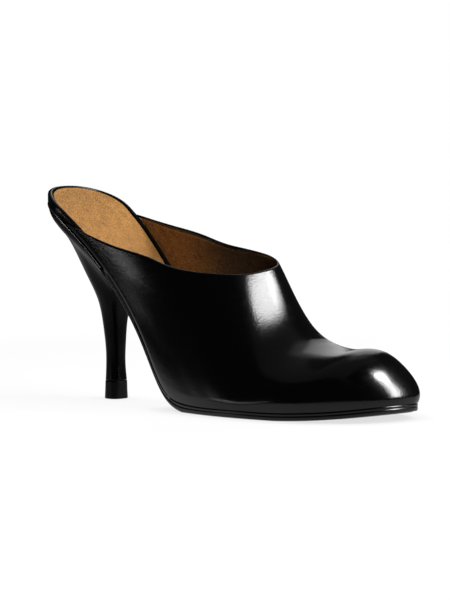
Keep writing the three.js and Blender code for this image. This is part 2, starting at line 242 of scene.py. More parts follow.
@dataclass
class Last:
    """The form that the shoe is built on, in millimetres."""

    seat_back: float
    toe_tip: float
    seat_round: float = 27
    seat_power: float = 2.15
    toe_round: float = 50
    toe_power: float = 2.5
    toe_tip_y: float = 9
    toe_drop: float = 30
    drop_power: float = 2.4
    corner_power: float = 3

    def __post_init__(self) -> None:
        """Makes a curve of each column of the section table."""
        self.section = {name: SECTIONS.curve(name) for name in SECTIONS.columns[1:]}

    def feather(self, x: Array) -> Array:
        """Height of the feather line at x."""
        return self.section["feather"](x)

    def toe_closing(self, x: Array) -> Array:
        """Share of the width that the round of the toe leaves at x."""
        return closing(x, self.toe_tip - self.toe_round, self.toe_tip, self.toe_power)

    def feather_y(self, x: Array, side: Side) -> Array:
        """Y of the feather line: the table's width, closed round the toe and the seat.

        Args:
            x: Places along the shoe.
            side: Which side of the shoe.

        Returns:
            Y of the line at each place.
        """
        width = self.section["outer" if side is Side.OUTER else "inner"](x)
        toe = (side.value * width - self.toe_tip_y) * self.toe_closing(x) + self.toe_tip_y
        return toe * closing(-x, -self.seat_back - self.seat_round, -self.seat_back, self.seat_power)

    def point(self, x: Array, around: Array) -> Array:
        """Surface of the last.

        With s = sin(90 around) and u = cos(90 around), y is the ridge plus half s plus
        2 fullness s u, and z is the feather plus rise u. Half width and fullness go from
        the outer to the inner side in step with s.

        Args:
            x: Places along the shoe.
            around: Places round the section, -1 at the outer and 1 at the inner feather.

        Returns:
            Points, with a last axis of 3.
        """
        x, around = np.broadcast_arrays(np.asarray(x, float), np.asarray(around, float))
        across = np.sin(np.pi * around / 2)
        up = np.cos(np.pi * around / 2)
        toe = self.toe_closing(x)
        ridge = self.toe_tip_y + (self.section["spine_y"](x) - self.toe_tip_y) * toe
        outer_half = ridge - self.feather_y(x, Side.OUTER)
        inner_half = self.feather_y(x, Side.INNER) - ridge
        share = (1 + across) / 2
        half = mix(outer_half, inner_half, share)
        full = mix(self.section["full_outer"](x), self.section["full_inner"](x), share)
        drop = closing(x, self.toe_tip - self.toe_drop, self.toe_tip, self.drop_power)
        feather = self.feather(x)
        rise = (self.section["spine"](x) - feather) * drop
        y = ridge + half * across + 2 * full * across * up * toe
        return np.stack([x, y, feather + rise * up], -1)

    def ring(self, start: float, end: float, count: int, corner: float = 0) -> Array:
        """Closed outline in plan between two places along the shoe.

        Args:
            start: X of the ring's rear end.
            end: X of its front end.
            count: Steps on each side.
            corner: Length over which a cut rear or front end is rounded off.

        Returns:
            Ring of 2 * count points in the XY plane.
        """
        x = gathered_places(start, end, count)
        outer = self.feather_y(x, Side.OUTER)
        inner = self.feather_y(x, Side.INNER)
        if start > self.seat_back:
            rear = closing(-x, -start - corner, -start, self.corner_power)
            outer, inner = drawn_together(outer, inner, rear)
        if end < self.toe_tip:
            front = closing(x, end - corner, end, self.corner_power)
            outer, inner = drawn_together(outer, inner, front)
        return closed_ring(x, outer, inner)


def inset_ring(ring: Array, inset: Array) -> Array:
    """Moves each point of a plan ring inwards, square to the ring.

    Args:
        ring: Closed ring that runs anticlockwise seen from above.
        inset: Distance for each point, or one for all.

    Returns:
        The moved ring.
    """
    tangent = np.roll(ring, -1, 0) - np.roll(ring, 1, 0)
    tangent /= np.linalg.norm(tangent, axis=1, keepdims=True)
    inward = np.stack([-tangent[:, 1], tangent[:, 0]], -1)
    return ring + inward * np.broadcast_to(np.asarray(inset, float), len(ring))[:, None]


def ring_middle(ring: Array) -> Array:
    """Point on the middle line level with each point of a ring from Last.ring."""
    partner = -np.arange(len(ring)) % len(ring)
    return (ring + ring[partner]) / 2


# ---- Meshes


WELD = 1e-6  # metres under which vertices are joined
SLIVER = 1e-8  # metres under which an edge is dropped


def grid_faces(rows: int, columns: int, wrap: bool) -> Array:
    """Quads of a grid of vertices that is stored row by row.

    Args:
        rows: Count of rows.
        columns: Count of columns.
        wrap: Whether the last column joins the first.

    Returns:
        Array of vertex indices, four for each quad.
    """
    index = np.arange(rows * columns).reshape(rows, columns)
    if wrap:
        index = np.column_stack([index, index[:, 0]])
    corners = index[:-1, :-1], index[:-1, 1:], index[1:, 1:], index[1:, :-1]
    return np.stack(corners, -1).reshape(-1, 4)


def make_sheet(name: str, grid: Array, wrap: bool = True, weld: float = WELD) -> Object:
    """Makes a smooth mesh object at the origin from a grid of points.

    Doubles are merged, which closes poles and seams, and then the faces are turned outwards.

    Args:
        name: Name of the object.
        grid: Points in millimetres, as rows by columns by 3.
        wrap: Whether the last column joins the first.
        weld: Distance in metres under which vertices are joined.

    Returns:
        The object, linked into the scene.
    """
    mesh = bpy.data.meshes.new(name)
    mesh.from_pydata(grid.reshape(-1, 3) * MM, [], grid_faces(*grid.shape[:2], wrap))
    mesh.validate()
    body = bmesh.new()
    body.from_mesh(mesh)
    bmesh.ops.remove_doubles(body, verts=body.verts, dist=weld)
    bmesh.ops.dissolve_degenerate(body, edges=body.edges, dist=SLIVER)
    bmesh.ops.recalc_face_normals(body, faces=body.faces)
    body.to_mesh(mesh)
    body.free()
    mesh.shade_smooth()
    piece = bpy.data.objects.new(name, mesh)
    bpy.context.scene.collection.objects.link(piece)
    return piece


def unit(vectors: Array) -> Array:
    """Vectors scaled to a length of 1."""
    return vectors / np.maximum(np.linalg.norm(vectors, axis=-1, keepdims=True), TINY)


def normals_of(points: Array) -> Array:
    """Unit normals of a grid of points: the cross product of its two gradients."""
    return unit(np.cross(np.gradient(points, axis=0), np.gradient(points, axis=1)))


# ---- Finishes


def new_material(name: str) -> tuple[Material, Node]:
    """Makes a node material.

    Args:
        name: Name of the material.

    Returns:
        The material and its Principled BSDF node.
    """
    material = bpy.data.materials.new(name)
    material.use_nodes = True
    return material, material.node_tree.nodes["Principled BSDF"]


def feed(tree: NodeTree, node: Node, values: dict[int | str, object]) -> None:
    """Fills inputs of a node.

    Args:
        tree: Its node tree.
        node: The node.
        values: What each input takes, by its name or number: a value, or an output to link.
    """
    for key, value in values.items():
        if isinstance(value, NodeSocket):
            tree.links.new(value, node.inputs[key])
        else:
            node.inputs[key].default_value = value


def matt_material(name: str, grey: float, roughness: float) -> tuple[Material, Node]:
    """Makes a grey material without gloss.

    Args:
        name: Name of the material.
        grey: Its lightness.
        roughness: Its roughness.

    Returns:
        The material and its Principled BSDF node.
    """
    material, shader = new_material(name)
    values = {"Base Color": (grey, grey, grey, 1), "Roughness": roughness, "Specular IOR Level": 0.0}
    feed(material.node_tree, shader, values)
    return material, shader


def add_node(tree: NodeTree, kind: str, *inputs: object, **values: object) -> Node:
    """Adds a node, sets its properties and fills its inputs.

    Args:
        tree: Node tree.
        kind: Type name of the node.
        inputs: What its first inputs take, in order.
        values: Properties by name, and what other inputs take, with underscores for spaces.

    Returns:
        The node.
    """
    node = tree.nodes.new(kind)
    fed = dict(enumerate(inputs))
    for name, value in values.items():
        if hasattr(node, name):
            setattr(node, name, value)
        else:
            fed[name.replace("_", " ")] = value
    feed(tree, node, fed)
    return node


def calculate(tree: NodeTree, operation: str, *inputs: object) -> NodeSocket:
    """Adds a math node and gives its result."""
    return add_node(tree, "ShaderNodeMath", *inputs, operation=operation).outputs[0]


def eased(
    tree: NodeTree, value: NodeSocket, span: tuple[float, float], first: float, last: float
) -> NodeSocket:
    """Adds a node that goes smoothly from a first to a last value over a span.

    Args:
        tree: Node tree.
        value: Output that runs over the span.
        span: Where the change starts and ends.
        first: Value up to the start.
        last: Value from the end on.

    Returns:
        Output that gives the result.
    """
    change = add_node(
        tree, "ShaderNodeMapRange", value, *span, first, last, interpolation_type="SMOOTHSTEP"
    )
    return change.outputs["Result"]


def new_group(name: str, numbers: Sequence[str], result: str) -> tuple[NodeTree, Node, Node]:
    """Makes a node group with a Vector input, number inputs and one number output.

    Args:
        name: Name of the group.
        numbers: Names of the number inputs.
        result: Name of the output.

    Returns:
        The group, its input node and its output node.
    """
    group = bpy.data.node_groups.new(name, "ShaderNodeTree")
    group.interface.new_socket("Vector", in_out="INPUT", socket_type="NodeSocketVector")
    for number in numbers:
        group.interface.new_socket(number, in_out="INPUT", socket_type="NodeSocketFloat")
    group.interface.new_socket(result, in_out="OUTPUT", socket_type="NodeSocketFloat")
    return group, add_node(group, "NodeGroupInput"), add_node(group, "NodeGroupOutput")


GRAIN_FINE_SCALE = 2.1  # the fine noise's scale over the cells'
GRAIN_CELL_SHARE = 1.1  # weight of the cells beside the fine noise
GRAIN_SLOW_SCALE = 90.0  # scale of the slow wave
MOTTLE_FINE_SCALE = 6  # the finer noise's scale over the broad one's
MOTTLE_FINE_SHARE = 0.72
MOTTLE_LOW = 0.36
MOTTLE_HIGH = 0.64


def grain_group() -> NodeTree:
    """Node group of leather grain: fine cells with pores, over a slow wave.

    Height is a softened Voronoi distance times its weight, plus a fine noise, plus a slow
    noise times Wave. Scale is in cells a metre.

    Returns:
        The group, with inputs Vector, Scale and Wave and output Height.
    """
    group, start, end = new_group("leather_grain", ("Scale", "Wave"), "Height")
    place, scale = start.outputs["Vector"], start.outputs["Scale"]
    finer = calculate(group, "MULTIPLY", scale, GRAIN_FINE_SCALE)
    cells = add_node(
        group, "ShaderNodeTexVoronoi", feature="SMOOTH_F1", Vector=place, Scale=scale, Smoothness=0.6
    )
    fine = add_node(group, "ShaderNodeTexNoise", Vector=place, Scale=finer, Detail=3.0, Roughness=0.6)
    slow = add_node(group, "ShaderNodeTexNoise", Vector=place, Scale=GRAIN_SLOW_SCALE, Detail=1.0)
    close = calculate(
        group, "MULTIPLY_ADD", cells.outputs["Distance"], GRAIN_CELL_SHARE, fine.outputs["Fac"]
    )
    height = calculate(group, "MULTIPLY_ADD", slow.outputs["Fac"], start.outputs["Wave"], close)
    feed(group, end, {"Height": height})
    return group


def mottle_group() -> NodeTree:
    """Node group that breaks a value up in two sizes of soft patches.

    Value is two noises, one of the stated scale and one several times finer, mixed with
    more of the finer one and stretched about one half.

    Returns:
        The group, with inputs Vector and Scale and output Value.
    """
    group, start, end = new_group("leather_mottle", ("Scale",), "Value")
    place, scale = start.outputs["Vector"], start.outputs["Scale"]
    finer = calculate(group, "MULTIPLY", scale, MOTTLE_FINE_SCALE)
    broad = add_node(group, "ShaderNodeTexNoise", Vector=place, Scale=scale, Detail=4.0, Roughness=0.55)
    fine = add_node(group, "ShaderNodeTexNoise", Vector=place, Scale=finer, Detail=3.0, Roughness=0.7)
    blend = add_node(
        group,
        "ShaderNodeMix",
        data_type="FLOAT",
        Factor=MOTTLE_FINE_SHARE,
        A=broad.outputs["Fac"],
        B=fine.outputs["Fac"],
    )
    stretch = add_node(group, "ShaderNodeMapRange", blend.outputs["Result"], MOTTLE_LOW, MOTTLE_HIGH)
    feed(group, end, {"Value": stretch.outputs["Result"]})
    return group


@dataclass(frozen=True)
class Leather:
    """A leather or rubber finish: two tones, grain and gloss.

    Grain depth is in millimetres and the scales are per metre. Over a span along the shoe, given
    in millimetres, the tones fall to a share of themselves: painted shade, darker toward the toe.
    """

    name: str
    light: tuple[float, float, float]
    dark: tuple[float, float, float]
    rough: tuple[float, float]
    grain_scale: float
    grain_depth: float
    grain_wave: float = 0.6
    mottle_scale: float = 60
    specular: float = 0.5
    sheen: float = 0
    # painted shade: where along the shoe the tones darken toward the toe, and the share they fall to
    shade_span: tuple[float, float] = (0, 0)
    shade_share: float = 1

    def paint_shade(self, tree: NodeTree, place: NodeSocket, tone: NodeSocket) -> NodeSocket:
        """Paints shade into a tone: darker toward the toe, with a share that sets in smoothly.

        Args:
            tree: The material's node tree.
            place: Output that gives the place.
            tone: Output that gives the colour.

        Returns:
            Output that gives the colour with the painted shade.
        """
        start, end = self.shade_span
        axes = add_node(tree, "ShaderNodeSeparateXYZ", place)
        share = eased(tree, axes.outputs["X"], (start * MM, end * MM), 1.0, self.shade_share)
        shaded_tone = add_node(tree, "ShaderNodeVectorMath", tone, operation="SCALE", Scale=share)
        return shaded_tone.outputs["Vector"]

    def build(self, grain: NodeTree, mottle: NodeTree) -> Material:
        """Makes the material.

        Args:
            grain: The shared grain group.
            mottle: The shared mottle group.

        Returns:
            The material.
        """
        material, shader = new_material(self.name)
        tree = material.node_tree
        place = add_node(tree, "ShaderNodeTexCoord").outputs["Object"]
        patches = add_node(
            tree, "ShaderNodeGroup", node_tree=mottle, Vector=place, Scale=self.mottle_scale
        )
        patch = patches.outputs["Value"]
        tones = {"A": (*self.dark, 1), "B": (*self.light, 1)}
        tone = add_node(tree, "ShaderNodeMix", data_type="RGBA", Factor=patch, **tones)
        low, high = self.rough
        rough = add_node(tree, "ShaderNodeMapRange", patch, To_Min=low, To_Max=high)
        sizes = {"Scale": self.grain_scale, "Wave": self.grain_wave}
        hide = add_node(tree, "ShaderNodeGroup", node_tree=grain, Vector=place, **sizes)
        bump = add_node(
            tree,
            "ShaderNodeBump",
            Strength=1.0,
            Distance=self.grain_depth * MM,
            Height=hide.outputs["Height"],
        )
        colour = tone.outputs["Result"]
        # painted shade, darker toward the toe
        if self.shade_share < 1:
            colour = self.paint_shade(tree, place, colour)
        values = {
            "Base Color": colour,
            "Roughness": rough.outputs["Result"],
            "Normal": bump.outputs["Normal"],
            "Specular IOR Level": self.specular,
            "Sheen Weight": self.sheen,
        }
        feed(tree, shader, values)
        return material


POLISHED_BLACK = Leather(
    name="polished_black_leather",
    light=(0.0014, 0.0014, 0.0015),
    dark=(0.0008, 0.0008, 0.0009),
    rough=(0.13, 0.17),
    grain_scale=1050,
    grain_depth=0.021,
)
RIM_BLACK = Leather(
    name="wrapped_rim_leather",
    light=(0.0016, 0.0016, 0.0018),
    dark=(0.0009, 0.0009, 0.0010),
    rough=(0.14, 0.19),
    grain_scale=1400,
    grain_depth=0.011,
)
HEEL_BLACK = Leather(
    name="wrapped_heel_leather",
    light=(0.0014, 0.0014, 0.0015),
    dark=(0.0008, 0.0008, 0.0009),
    rough=(0.22, 0.30),
    grain_scale=1400,
    grain_depth=0.020,
    grain_wave=0.5,
    specular=0.11,
)
SOCK_TAN = Leather(
    name="tan_sock_leather",
    light=(0.415, 0.198, 0.044),
    dark=(0.165, 0.067, 0.010),
    rough=(0.55, 0.72),
    grain_scale=900,
    grain_depth=0.35,
    mottle_scale=260,
    specular=0.35,
    sheen=0.05,
)
LINING_TAN = Leather(
    name="tan_lining_leather",
    light=(0.460, 0.205, 0.048),
    dark=(0.120, 0.046, 0.010),
    rough=(0.65, 0.85),
    grain_scale=850,
    grain_depth=0.35,
    mottle_scale=230,
    specular=0.25,
    sheen=0.04,
    # painted shade: the lining darkens toward the toe box, where the inside of the shoe lies in shade
    shade_span=(22, 62),
    shade_share=0.16,
)
SOLE_EDGE_BLACK = Leather(
    name="inked_sole_edge",
    light=(0.0030, 0.0030, 0.0033),
    dark=(0.0014, 0.0014, 0.0016),
    rough=(0.16, 0.24),
    grain_scale=1300,
    grain_depth=0.006,
)
# Pale grey line on the upper corner of the sole's edge and of the heel's lip: a painted highlight where that
# edge catches the light
EDGE_HIGHLIGHT_PAINT = Leather(
    name="painted_edge_highlight",
    light=(0.46, 0.45, 0.43),
    dark=(0.30, 0.29, 0.28),
    rough=(0.40, 0.50),
    grain_scale=1300,
    grain_depth=0.004,
)
TOP_PIECE_BLACK = Leather(
    name="top_piece_rubber",
    light=(0.0036, 0.0036, 0.0039),
    dark=(0.0018, 0.0018, 0.0020),
    rough=(0.34, 0.46),
    grain_scale=1700,
    grain_depth=0.010,
    specular=0.16,
)


@dataclass
class Wardrobe:
    """Makes each finish once and puts it on pieces."""

    made: dict[str, Material] = field(default_factory=dict)
    grain: NodeTree = field(default_factory=grain_group)
    mottle: NodeTree = field(default_factory=mottle_group)

    def material(self, finish: Leather) -> Material:
        """A finish's material, made the first time that it is asked for.

        Args:
            finish: The finish.

        Returns:
            The material.
        """
        if finish.name not in self.made:
            self.made[finish.name] = finish.build(self.grain, self.mottle)
        return self.made[finish.name]

    def dress(self, piece: Object, finish: Leather, slot: str, *nodes: str) -> None:
        """Gives a piece its finish, hangs it on the body's empty, and hides the CAD nodes that it stands for.

        Args:
            piece: The object.
            finish: Its finish.
            slot: The record's material slot; not used.
            nodes: CAD nodes that the piece replaces.
        """
        piece.data.materials.append(self.material(finish))
        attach(piece, BODY)
        if nodes:
            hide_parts(*nodes)
        LOG.info("%s: %d faces", piece.name, len(piece.data.polygons))

    def trim(self, piece: Object, finish: Leather, chosen: Callable[[Array], Array]) -> None:
        """Gives some of a dressed piece's faces a second finish.

        Args:
            piece: The object.
            finish: The second finish.
            chosen: Picks faces by their middles in millimetres.
        """
        piece.data.materials.append(self.material(finish))
        polygons = piece.data.polygons
        middles = np.empty(3 * len(polygons))
        polygons.foreach_get("center", middles)
        polygons.foreach_set("material_index", chosen(middles.reshape(-1, 3) / MM).astype(np.int32))


# ---- Upper


@dataclass(frozen=True)
class Crease:
    """A soft trough across the upper: where its middle lies, how it runs, width and depth."""

    x: float
    around: float
    reach: float
    slant: float
    width: float
    depth: float


@dataclass
class Upper:
    """The vamp with its two wings: a polished skin with a rolled topline, and a lining."""

    last: Last
    wardrobe: Wardrobe
    throat_x: float = 100
    wing_outer: float = -12
    wing_inner: float = -16
    wall: float = 1.8
    wall_skived: float = 0.5
    skive_length: float = 36
    columns: int = 300
    rows: int = 170
    row_easing: float = 1.25
    finer: int = 12
    probe: float = 0.5
    least_slope: float = 0.25
    roll_steps: int = 9
    inside_rows: int = 56
    curl_high: float = 5.0
    curl_in: float = 0.8
    crease_fade: float = 1.8
    edge_rows: int = 3
    lining_step: int = 2
    lining_start: int = 2
    lining_behind: float = 0.35
    lining_lap: float = 0.2
    lining_lift: float = 0.2
    weld: float = 2 * WELD
    creases: tuple[Crease, ...] = (
        Crease(x=116.5, around=0.16, reach=0.16, slant=3.0, width=1.1, depth=0.05),
        Crease(x=120.5, around=0.12, reach=0.24, slant=4.0, width=1.4, depth=0.08),
        Crease(x=125.5, around=0.12, reach=0.22, slant=2.5, width=1.2, depth=0.06),
        Crease(x=130.0, around=0.08, reach=0.26, slant=1.5, width=1.5, depth=0.05),
    )

    def __post_init__(self) -> None:
        """Makes the topline's curve."""
        self.topline_around = TOPLINE.curve("around")

    def wall_at(self, x: Array) -> Array:
        """Thickness of the upper, thinned toward the wings' ends."""
        share = smooth_step(x, self.wing_inner, self.wing_inner + self.skive_length)
        return mix(self.wall_skived, self.wall, share)

    def topline_place(self, along: Array) -> tuple[Array, Array]:
        """Place of the topline on the last.

        Args:
            along: From the outer wing's end (-1) to the inner wing's end (1).

        Returns:
            X and the place round the section.
        """
        end = np.where(along < 0, self.wing_outer, self.wing_inner)
        around = np.clip(self.topline_around(along), -1, 1)
        return self.throat_x - (self.throat_x - end) * along**2, around

    def even_places(self) -> Array:
        """Evenly spaced columns, by length along the topline on the last.

        Returns:
            Place of each column along the topline.
        """
        fine = np.linspace(-1, 1, self.columns * self.finer)
        steps = np.linalg.norm(np.diff(self.last.point(*self.topline_place(fine)), axis=0), axis=1)
        length = np.concatenate([[0], np.cumsum(steps)])
        return np.interp(np.linspace(0, length[-1], self.columns), length, fine)

    def crease_depth(self, x: Array, around: Array) -> Array:
        """Depth of the creases: bell-shaped troughs that bend and fade out sideways.

        Args:
            x: Places along the shoe.
            around: Places round the section.

        Returns:
            Depth at each place.
        """
        depth = np.zeros(np.broadcast(x, around).shape)
        for crease in self.creases:
            sideways = (around - crease.around) / crease.reach
            middle = crease.x + crease.slant * sideways**2
            fade = np.exp(-(sideways**2) * self.crease_fade)
            depth += crease.depth * fade * np.exp(-(((x - middle) / crease.width) ** 2))
        return depth

    def outward(self, points: Array) -> Array:
        """Normals of the skin's grid, turned outwards, and straight ahead at the toe's tip.

        Args:
            points: The grid, column by column, from the topline to the toe's tip.

        Returns:
            Unit normals.
        """
        normal = normals_of(points)
        normal *= np.sign(normal[self.columns // 2, self.edge_rows, 2])
        normal[:, -1] = (1, 0, 0)
        return normal

    def skin(self) -> tuple[Array, Array]:
        """Grid of the outer surface, from the topline to the toe's tip, and its normals.

        Each column keeps its place round the last. Its x starts where the topline, moved
        down by the radius of its roll, crosses the column. Near the feather the leather
        curls in under the foot by a square law.

        Returns:
            Points and outward normals, column by column.
        """
        last = self.last
        start, around = self.topline_place(self.even_places())
        tangent = unit(np.gradient(last.point(start, around), axis=0))
        ahead = last.point(start + self.probe, around) - last.point(start - self.probe, around)
        square = ahead - np.sum(ahead * tangent, -1, keepdims=True) * tangent
        slope = np.maximum(np.linalg.norm(square, axis=-1), self.least_slope)
        start = start + self.wall_at(start) / 2 / slope
        row = np.sin(np.linspace(0, 1, self.rows) * np.pi / 2) ** self.row_easing
        x = start[:, None] + (last.toe_tip - start[:, None]) * row[None, :]
        points = last.point(x, around[:, None])
        normal = self.outward(points)
        above = points[..., 2] - last.feather(points[..., 0])
        curl = self.curl_in * np.clip(1 - above / self.curl_high, 0, 1) ** 2
        points = points - unit(normal * (1, 1, 0)) * curl[..., None]
        points = points - normal * self.crease_depth(x, around[:, None])[..., None]
        return points, self.outward(points)

    def build(self) -> None:
        """Builds the skin with its rolled edge, and the lining.

        The roll is a half circle whose radius is half the wall, from the outer surface
        over the topline to the inner one, and a short strip goes on down inside.
        """
        points, normal = self.skin()
        wall = self.wall_at(points[..., 0])
        edge, out = points[:, 0], normal[:, 0]
        up = unit(np.cross(unit(np.gradient(edge, axis=0)), out))
        up = up * np.sign(np.sum(up * (edge - points[:, self.edge_rows]), -1, keepdims=True))
        turn = np.linspace(np.pi, 0, self.roll_steps)[:-1, None]
        swing = out[:, None] * (np.cos(turn) - 1) + up[:, None] * np.sin(turn)
        roll = edge[:, None] + swing * wall[:, :1, None] / 2
        inner = points - normal * wall[..., None]
        inner[..., 2] = np.maximum(inner[..., 2], self.last.feather(inner[..., 0]))
        sheet = np.concatenate([inner[:, self.inside_rows : 0 : -1], roll, points], axis=1)
        skin = make_sheet("upper_skin", sheet, wrap=False, weld=self.weld)
        self.wardrobe.dress(skin, POLISHED_BLACK, "upper_leather", "upper")
        self.build_lining(points, normal, wall)

    def build_lining(self, points: Array, normal: Array, wall: Array) -> None:
        """Builds the lining: a thin sheet inside the skin, just below the topline.

        Args:
            points: The skin's grid.
            normal: Its outward normals.
            wall: The wall's thickness at each point.
        """
        used = np.s_[:: self.lining_step, self.lining_start :]
        base, out, depth = points[used], normal[used], wall[used][..., None]
        inside = base - out * (depth + self.lining_behind)
        edge = base[:, :1] - out[:, :1] * (depth[:, :1] - self.lining_lap)
        sheet = np.concatenate([edge, inside], axis=1)
        sheet[..., 2] = np.maximum(sheet[..., 2], self.last.feather(sheet[..., 0]) + self.lining_lift)
        lining = make_sheet("upper_lining", sheet, wrap=False, weld=self.weld)
        self.wardrobe.dress(lining, LINING_TAN, "sock_leather")


# ---- Plates: insole board, sock and outsole


def plate_rows(ring: Array, insets: Sequence[Array], heights: Sequence[Array]) -> Array:
    """Rows of a plate's edge: the ring moved in by an inset, at a height for each level.

    Args:
        ring: Plan ring.
        insets: Inset for each level, one value or one for each ring point.
        heights: Height for each level and ring point.

    Returns:
        Grid of levels by ring points.
    """
    rows = []
    for inset, height in zip(insets, heights):
        plan = inset_ring(ring, inset)
        rows.append(np.column_stack([plan, np.broadcast_to(height, len(ring))]))
    return np.stack(rows)


def quarter_round(inset: Array, top: Array, radius: float, steps: int) -> tuple[list[Array], list[Array]]:
    """Levels of a rounded upper edge: a quarter circle from the side to the top.

    Args:
        inset: Inset of the side.
        top: Height of the top.
        radius: Radius of the edge.
        steps: Count of levels.

    Returns:
        Insets and heights of the levels.
    """
    bend = np.linspace(0, np.pi / 2, steps)
    insets = [inset + radius * (1 - np.cos(angle)) for angle in bend]
    return insets, [top - radius * (1 - np.sin(angle)) for angle in bend]


def filled(row: Array, lift: Lift, steps: int) -> Array:
    """Rows that close a plate: the edge row drawn toward the middle line in equal steps.

    Args:
        row: Edge row of points.
        lift: Height of the rows.
        steps: Count of steps.

    Returns:
        Rows from just inside the edge to the middle line.
    """
    middle = ring_middle(row[:, :2])
    rows = []
    for share in np.linspace(0, 1, steps + 1)[1:]:
        plan = mix(row[:, :2], middle, share)
        rows.append(np.column_stack([plan, lift(plan[:, 0], np.full(len(row), share))]))
    return np.stack(rows)


def make_body(name: str, rows: Array, first: Lift, last: Lift, steps: tuple[int, int] = (6, 6)) -> Object:
    """Makes a closed piece from rows of rings.

    Args:
        name: Name of the object.
        rows: The rings.
        first: Height of the end that closes the first ring.
        last: Height of the end that closes the last ring.
        steps: Count of steps in each end.

    Returns:
        The object.
    """
    start = filled(rows[0], first, steps[0])[::-1]
    return make_sheet(name, np.concatenate([start, rows, filled(rows[-1], last, steps[1])]))


# inset: how far inside the board's side; rise: height over the feather line. Millimetres.
BOARD_FOOT = Table(("inset", "rise"), ((0.5, 0), (0.12, 0.25), (0, 0.7)))

# inset: how far inside the board's side; fall: from the rim down into the groove at the sock.
RIM_FALL = Table(("inset", "fall"), ((1.5, -0.04), (1.95, 0.08), (2.25, 0.5), (2.45, 1.2), (3.2, 1.75)))


@dataclass
class Footbed:
    """The leather-wrapped insole board with its rim, and the sock on it."""

    last: Last
    upper: Upper
    wardrobe: Wardrobe
    seat_thick: float = 3.8
    fore_thick: float = 3.2
    thin_from: float = 20
    thin_to: float = 75
    gap: float = 0.3
    free: float = 0.2
    step_behind: float = 4
    step_ahead: float = 6
    rim_radius: float = 0.9
    rim_rise: float = 0.9
    rim_steps: int = 8
    bed_sink: float = 0.9
    sock_border: float = 2.6
    sock_rise: float = -0.1
    sock_sink: float = 0.75
    sock_radius: float = 0.6
    sock_eased: float = 0.1
    sock_steps: int = 7
    sock_hollow: float = 0.15
    stations: int = 190

    def thick(self, x: Array) -> Array:
        """Thickness of the covered board at x."""
        return mix(self.seat_thick, self.fore_thick, smooth_step(x, self.thin_from, self.thin_to))

    def inset(self, x: Array) -> Array:
        """How far the board's edge lies inside the outline.

        Args:
            x: Places along the shoe.

        Returns:
            The inset, which is 0 behind the wings.
        """
        wing = self.upper.wing_inner
        under = smooth_step(x, wing - self.step_behind, wing + self.step_ahead)
        return (self.upper.wall_at(x) + self.gap + self.free) * under

    def top(self, x: Array) -> Array:
        """Height of the board's top at x."""
        return self.last.feather(x) + self.thick(x)

    def build(self) -> None:
        """Builds the board and the sock on one outline."""
        ring = self.last.ring(self.last.seat_back, self.last.toe_tip, self.stations)
        self.build_board(ring)
        self.build_sock(ring)

    def build_board(self, ring: Array) -> None:
        """Builds the board: a side, a rolled upper edge, a rim and a groove inside it.

        The edge's section is a quarter circle from the side to the rim. The rim rises
        gently and drops into a groove where the sock begins.

        Args:
            ring: Plan outline of the last.
        """
        base = self.inset(ring[:, 0])
        foot = self.last.feather(ring[:, 0])
        rim = self.top(ring[:, 0]) + self.rim_rise
        insets, heights = quarter_round(base, rim, self.rim_radius, self.rim_steps)
        insets = [base + inset for inset, _ in BOARD_FOOT.rows] + insets
        heights = [foot + rise for _, rise in BOARD_FOOT.rows] + heights
        insets += [base + inset for inset, _ in RIM_FALL.rows]
        heights += [rim - fall for _, fall in RIM_FALL.rows]
        rows = plate_rows(ring, insets, heights)
        board = make_body(
            "board_rim", rows, lambda x, _: self.last.feather(x), lambda x, _: self.top(x) - self.bed_sink
        )
        self.wardrobe.dress(board, RIM_BLACK, "rim_leather", "insole_board")

    def build_sock(self, ring: Array) -> None:
        """Builds the sock: thin leather with a soft round edge, a little hollow in the middle.

        Args:
            ring: Plan outline of the last.
        """
        base = self.inset(ring[:, 0]) + self.sock_border
        top = self.top(ring[:, 0])
        floor = top - self.sock_sink
        insets, heights = quarter_round(base, top + self.sock_rise, self.sock_radius, self.sock_steps)
        insets = [base + self.sock_radius, base + self.sock_eased, *insets]
        heights = [floor, floor + self.sock_eased, *heights]
        rows = plate_rows(ring, insets, heights)

        def face(x: Array, share: Array) -> Array:
            """Top of the sock, which falls a little toward the middle line."""
            return self.top(x) + self.sock_rise - self.sock_hollow * np.sin(share * np.pi / 2)

        sock = make_body("sock_pad", rows, lambda x, _: self.top(x) - self.sock_sink, face, steps=(4, 22))
        self.wardrobe.dress(sock, SOCK_TAN, "sock_leather", "sock")


UNDER_FEATHER = 0.05  # how far below the feather line the sole and the heel begin

# The sole's edge from the underside up, as insets in millimetres and shares of its height:
# first the grooved edge round the forefoot, then the rounder one along the shank.
SOLE_EDGE = Table(
    ("inset", "share", "shank_inset", "shank_share"),
    (
        (1.9, 0.00, 1.9, 0.0),
        (0.75, 0.03, 0.7, 0.02),
        (0.30, 0.10, 0.4, 0.07),
        (0.10, 0.20, 0.2, 0.15),
        (0.00, 0.34, 0.07, 0.26),
        (0.02, 0.50, 0.0, 0.38),
        (0.10, 0.58, 0.0, 0.5),
        (0.34, 0.62, 0.0, 0.6),
        (0.10, 0.66, 0.02, 0.68),
        (0.00, 0.72, 0.16, 0.76),
        (0.00, 0.86, 0.32, 0.85),
        (0.12, 0.94, 0.50, 0.95),
        (0.40, 0.99, 0.9, 1.0),
    ),
)


